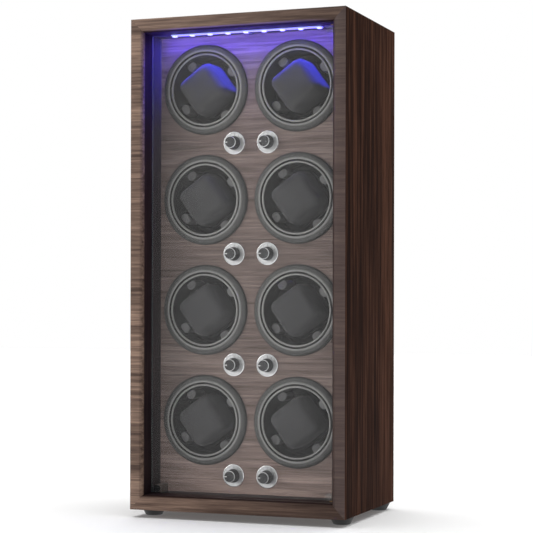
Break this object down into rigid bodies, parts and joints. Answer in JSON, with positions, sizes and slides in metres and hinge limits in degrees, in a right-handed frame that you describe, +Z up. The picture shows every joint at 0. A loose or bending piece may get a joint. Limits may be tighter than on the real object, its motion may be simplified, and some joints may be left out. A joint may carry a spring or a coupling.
{
  "type": "watch winder cabinet",
  "caption": "Tall walnut box with a hinged glass door and two columns of motor-driven turning cups with watch cushions, timer knobs and a light strip.",
  "frame": {"origin": "on the ground, under the middle of the box", "axes": "+Z up; -Y towards the glass door; +X to the right seen from the door"},
  "size_m": [0.258, 0.188, 0.569],
  "materials": {
    "walnut": "satin lacquered walnut veneer",
    "walnut_plate": "satin walnut veneer, horizontal grain",
    "dark_panel": "dark stained fibreboard",
    "black_board": "black fibreboard",
    "softwood": "plain sawn",
    "glass": "clear tempered",
    "black_metal": "black satin",
    "clear_acrylic": "clear moulded acrylic",
    "latch_brown": "brown moulding",
    "bezel_black": "satin black moulding",
    "cup_black": "fine matt moulding",
    "knob_black": "ribbed, matt",
    "housing_black": "matt",
    "rubber": "matt",
    "steel": "plated",
    "dial_silver": "spun satin",
    "bronze": "sintered",
    "nylon": "natural white",
    "cushion": "dark grey velvet",
    "circuit": "solder mask",
    "lamp": "emissive white",
    "cable": "ribbon cable"
  },
  "bodies": {
    "cabinet": {"left_side": "walnut", "right_side": "walnut", "top_board": "walnut", "bottom_board": "walnut", "back_panel": "dark_panel", "feet": "rubber", "latch_body": "latch_brown", "faceplate": "walnut_plate", "bezels": "bezel_black", "battens": "softwood", "drive_board": "black_board", "bushes": "bronze", "motors": "steel", "belts": "rubber", "dial_plates": "dial_silver", "timer_switches": "steel", "switch_nuts": "steel", "light_strip": "lamp", "control_board": "circuit", "wiring_loom": "cable", "power_socket": "housing_black", "switch_housing": "housing_black", "screws": "steel"},
    "door": {"door_glass": "glass", "door_shoes": "clear_acrylic", "door_strike": "black_metal"},
    "latch": {"latch_plunger": "latch_brown"},
    "power_rocker": {"rocker": "housing_black"},
    "rotor_1": {"cup_1": "cup_black", "pillow_1": "cushion"},
    "motor_shaft_1": {"motor_pulley_1": "nylon"},
    "timer_knob_1": {"knob_1": "knob_black"},
    "rotor_2": {"cup_2": "cup_black", "pillow_2": "cushion"},
    "motor_shaft_2": {"motor_pulley_2": "nylon"},
    "timer_knob_2": {"knob_2": "knob_black"},
    "rotor_3": {"cup_3": "cup_black", "pillow_3": "cushion"},
    "motor_shaft_3": {"motor_pulley_3": "nylon"},
    "timer_knob_3": {"knob_3": "knob_black"},
    "rotor_4": {"cup_4": "cup_black", "pillow_4": "cushion"},
    "motor_shaft_4": {"motor_pulley_4": "nylon"},
    "timer_knob_4": {"knob_4": "knob_black"},
    "rotor_5": {"cup_5": "cup_black", "pillow_5": "cushion"},
    "motor_shaft_5": {"motor_pulley_5": "nylon"},
    "timer_knob_5": {"knob_5": "knob_black"},
    "rotor_6": {"cup_6": "cup_black", "pillow_6": "cushion"},
    "motor_shaft_6": {"motor_pulley_6": "nylon"},
    "timer_knob_6": {"knob_6": "knob_black"},
    "rotor_7": {"cup_7": "cup_black", "pillow_7": "cushion"},
    "motor_shaft_7": {"motor_pulley_7": "nylon"},
    "timer_knob_7": {"knob_7": "knob_black"},
    "rotor_8": {"cup_8": "cup_black", "pillow_8": "cushion"},
    "motor_shaft_8": {"motor_pulley_8": "nylon"},
    "timer_knob_8": {"knob_8": "knob_black"}
  },
  "joints": [
    {"name": "door_hinge", "type": "hinge", "parent": "cabinet", "child": "door", "pos_m": [0.1075, -0.07, 0.28975], "axis": [0, 0, 1], "range_deg": [0, 95]},
    {"name": "latch_press", "type": "slide", "parent": "cabinet", "child": "latch", "axis": [0, 1, 0], "range_m": [0, 0.003]},
    {"name": "rocker_tip", "type": "hinge", "parent": "cabinet", "child": "power_rocker", "pos_m": [0.025, 0.0875, 0.069], "axis": [1, 0, 0], "range_deg": [0, 14]},
    {"name": "cup_spin_1", "type": "hinge", "parent": "cabinet", "child": "rotor_1", "pos_m": [-0.05635, -0.034, 0.49155], "axis": [0, 1, 0], "continuous": true},
    {"name": "motor_spin_1", "type": "hinge", "parent": "cabinet", "child": "motor_shaft_1", "pos_m": [-0.05635, -0.006, 0.43155], "axis": [0, 1, 0], "continuous": true},
    {"name": "knob_turn_1", "type": "hinge", "parent": "cabinet", "child": "timer_knob_1", "pos_m": [-0.0205, -0.054, 0.42875], "axis": [0, 1, 0], "range_deg": [0, 180]},
    {"name": "cup_spin_2", "type": "hinge", "parent": "cabinet", "child": "rotor_2", "pos_m": [0.05635, -0.034, 0.49155], "axis": [0, 1, 0], "continuous": true},
    {"name": "motor_spin_2", "type": "hinge", "parent": "cabinet", "child": "motor_shaft_2", "pos_m": [0.05635, -0.006, 0.43155], "axis": [0, 1, 0], "continuous": true},
    {"name": "knob_turn_2", "type": "hinge", "parent": "cabinet", "child": "timer_knob_2", "pos_m": [0.0205, -0.054, 0.42875], "axis": [0, 1, 0], "range_deg": [0, 180]},
    {"name": "cup_spin_3", "type": "hinge", "parent": "cabinet", "child": "rotor_3", "pos_m": [-0.05635, -0.034, 0.36435], "axis": [0, 1, 0], "continuous": true},
    {"name": "motor_spin_3", "type": "hinge", "parent": "cabinet", "child": "motor_shaft_3", "pos_m": [-0.05635, -0.006, 0.30435], "axis": [0, 1, 0], "continuous": true},
    {"name": "knob_turn_3", "type": "hinge", "parent": "cabinet", "child": "timer_knob_3", "pos_m": [-0.0205, -0.054, 0.30155], "axis": [0, 1, 0], "range_deg": [0, 180]},
    {"name": "cup_spin_4", "type": "hinge", "parent": "cabinet", "child": "rotor_4", "pos_m": [0.05635, -0.034, 0.36435], "axis": [0, 1, 0], "continuous": true},
    {"name": "motor_spin_4", "type": "hinge", "parent": "cabinet", "child": "motor_shaft_4", "pos_m": [0.05635, -0.006, 0.30435], "axis": [0, 1, 0], "continuous": true},
    {"name": "knob_turn_4", "type": "hinge", "parent": "cabinet", "child": "timer_knob_4", "pos_m": [0.0205, -0.054, 0.30155], "axis": [0, 1, 0], "range_deg": [0, 180]},
    {"name": "cup_spin_5", "type": "hinge", "parent": "cabinet", "child": "rotor_5", "pos_m": [-0.05635, -0.034, 0.23715], "axis": [0, 1, 0], "continuous": true},
    {"name": "motor_spin_5", "type": "hinge", "parent": "cabinet", "child": "motor_shaft_5", "pos_m": [-0.05635, -0.006, 0.17715], "axis": [0, 1, 0], "continuous": true},
    {"name": "knob_turn_5", "type": "hinge", "parent": "cabinet", "child": "timer_knob_5", "pos_m": [-0.0205, -0.054, 0.17435], "axis": [0, 1, 0], "range_deg": [0, 180]},
    {"name": "cup_spin_6", "type": "hinge", "parent": "cabinet", "child": "rotor_6", "pos_m": [0.05635, -0.034, 0.23715], "axis": [0, 1, 0], "continuous": true},
    {"name": "motor_spin_6", "type": "hinge", "parent": "cabinet", "child": "motor_shaft_6", "pos_m": [0.05635, -0.006, 0.17715], "axis": [0, 1, 0], "continuous": true},
    {"name": "knob_turn_6", "type": "hinge", "parent": "cabinet", "child": "timer_knob_6", "pos_m": [0.0205, -0.054, 0.17435], "axis": [0, 1, 0], "range_deg": [0, 180]},
    {"name": "cup_spin_7", "type": "hinge", "parent": "cabinet", "child": "rotor_7", "pos_m": [-0.05635, -0.034, 0.10995], "axis": [0, 1, 0], "continuous": true},
    {"name": "motor_spin_7", "type": "hinge", "parent": "cabinet", "child": "motor_shaft_7", "pos_m": [-0.05635, -0.006, 0.04995], "axis": [0, 1, 0], "continuous": true},
    {"name": "knob_turn_7", "type": "hinge", "parent": "cabinet", "child": "timer_knob_7", "pos_m": [-0.0205, -0.054, 0.04715], "axis": [0, 1, 0], "range_deg": [0, 180]},
    {"name": "cup_spin_8", "type": "hinge", "parent": "cabinet", "child": "rotor_8", "pos_m": [0.05635, -0.034, 0.10995], "axis": [0, 1, 0], "continuous": true},
    {"name": "motor_spin_8", "type": "hinge", "parent": "cabinet", "child": "motor_shaft_8", "pos_m": [0.05635, -0.006, 0.04995], "axis": [0, 1, 0], "continuous": true},
    {"name": "knob_turn_8", "type": "hinge", "parent": "cabinet", "child": "timer_knob_8", "pos_m": [0.0205, -0.054, 0.04715], "axis": [0, 1, 0], "range_deg": [0, 180]}
  ],
  "couplings": [
    {"joint": "motor_spin_1", "follows": "cup_spin_1", "ratio": 4},
    {"joint": "motor_spin_2", "follows": "cup_spin_2", "ratio": 4},
    {"joint": "motor_spin_3", "follows": "cup_spin_3", "ratio": 4},
    {"joint": "motor_spin_4", "follows": "cup_spin_4", "ratio": 4},
    {"joint": "motor_spin_5", "follows": "cup_spin_5", "ratio": 4},
    {"joint": "motor_spin_6", "follows": "cup_spin_6", "ratio": 4},
    {"joint": "motor_spin_7", "follows": "cup_spin_7", "ratio": 4},
    {"joint": "motor_spin_8", "follows": "cup_spin_8", "ratio": 4}
  ]
}
